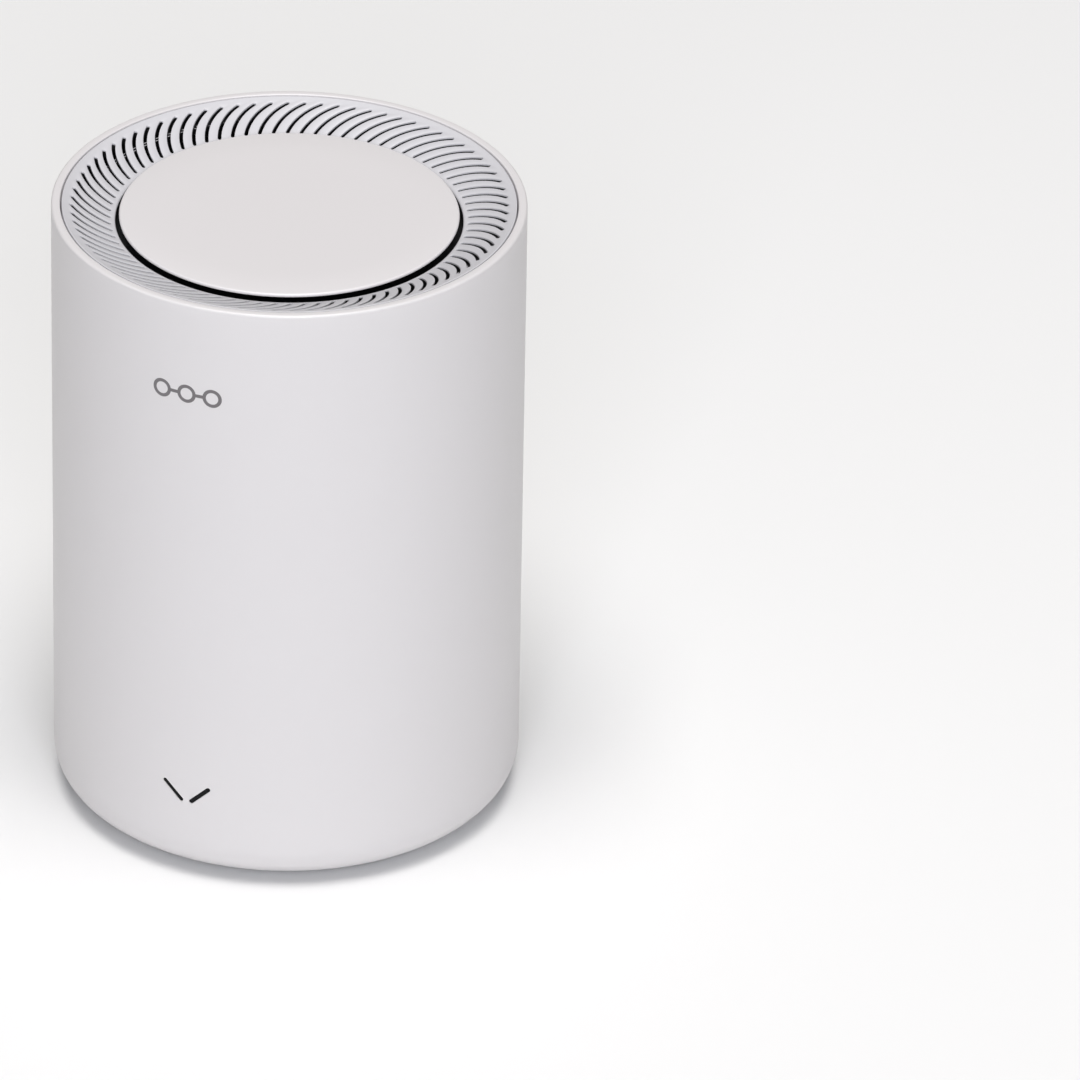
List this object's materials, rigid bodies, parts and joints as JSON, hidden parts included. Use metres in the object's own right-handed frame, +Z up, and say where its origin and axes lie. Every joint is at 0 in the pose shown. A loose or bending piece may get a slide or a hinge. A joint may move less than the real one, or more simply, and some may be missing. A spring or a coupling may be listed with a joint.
{
  "type": "mesh wifi node",
  "caption": "Upright white cylindrical mesh wifi node with a sunken ring of curved vent slots around a floating top disc, front indicator windows and a recessed rear connector bay.",
  "frame": {"origin": "centre of the resting plane, under the foot ring", "axes": "+Z up along the cylinder, -Y towards the front indicator windows, +Y towards the rear connectors, +X to the right seen from the front"},
  "size_m": [0.11, 0.11, 0.1525],
  "materials": {
    "white_abs": "satin white moulded ABS",
    "grey_abs": "light grey moulded ABS",
    "black_abs": "black moulded ABS",
    "chassis_plastic": "dark moulded ABS",
    "smoked_lens": "smoked acrylic",
    "foot_rubber": "matt rubber",
    "label_film": "blank printed film",
    "circuit_laminate": "green solder mask",
    "chip_epoxy": "moulded epoxy",
    "thermal_pad": "soft thermal pad",
    "aluminium": "extruded aluminium",
    "tinned_steel": "tin-plated sheet",
    "gold_contacts": "gold-plated contacts",
    "screw_steel": "zinc-plated steel",
    "led_lens": "clear LED package",
    "cable_jacket": "black cable jacket"
  },
  "bodies": {
    "housing": {"antenna_lead_left_inner": "cable_jacket", "antenna_lead_left_outer": "cable_jacket", "antenna_lead_right_inner": "cable_jacket", "antenna_lead_right_outer": "cable_jacket", "antenna_left_inner": "tinned_steel", "antenna_left_outer": "tinned_steel", "antenna_right_inner": "tinned_steel", "antenna_right_outer": "tinned_steel", "base_cover": "grey_abs", "base_screw_front_left": "screw_steel", "base_screw_front_right": "screw_steel", "base_screw_rear_left": "screw_steel", "base_screw_rear_right": "screw_steel", "board_screw_lower_left": "screw_steel", "board_screw_lower_right": "screw_steel", "board_screw_upper_left": "screw_steel", "board_screw_upper_right": "screw_steel", "bulk_capacitor": "aluminium", "dc_centre_pin": "tinned_steel", "dc_power_jack": "black_abs", "disc_carrier": "black_abs", "ethernet_switch_chip": "chip_epoxy", "flash_chip": "chip_epoxy", "foot_ring": "foot_rubber", "heat_sink": "aluminium", "lan_contacts": "gold_contacts", "lan_jack": "tinned_steel", "lan_transformer": "chip_epoxy", "led_board": "circuit_laminate", "led_cable": "cable_jacket", "left_rail": "chassis_plastic", "light_guide": "smoked_lens", "lower_frame": "chassis_plastic", "main_board": "circuit_laminate", "memory_chip": "chip_epoxy", "outer_shell": "white_abs", "pair_switch": "chip_epoxy", "power_inductor": "chip_epoxy", "processor_chip": "chip_epoxy", "processor_thermal_pad": "thermal_pad", "radio_chip_2g": "chip_epoxy", "radio_chip_5g": "chip_epoxy", "radio_shield_2g": "tinned_steel", "radio_shield_5g": "tinned_steel", "rating_label": "label_film", "rear_io_panel": "grey_abs", "reset_switch": "chip_epoxy", "right_rail": "chassis_plastic", "status_led_left": "led_lens", "status_led_right": "led_lens", "top_disc": "white_abs", "top_grille": "grey_abs", "upper_frame": "chassis_plastic", "wan_contacts": "gold_contacts", "wan_jack": "tinned_steel", "wan_transformer": "chip_epoxy"},
    "pair_button": {"pair_button_cap": "grey_abs", "pair_switch_plunger": "black_abs"},
    "reset_plunger": {"reset_switch_plunger": "black_abs"}
  },
  "joints": [
    {"name": "pair_button_press", "type": "slide", "parent": "housing", "child": "pair_button", "axis": [0, -1, 0], "range_m": [0, 0.0005], "stiffness_N_per_m": 3000, "springref_m": -0.0001},
    {"name": "reset_plunger_press", "type": "slide", "parent": "housing", "child": "reset_plunger", "axis": [0, -1, 0], "range_m": [0, 0.00025], "stiffness_N_per_m": 3000, "springref_m": -0.0001}
  ]
}
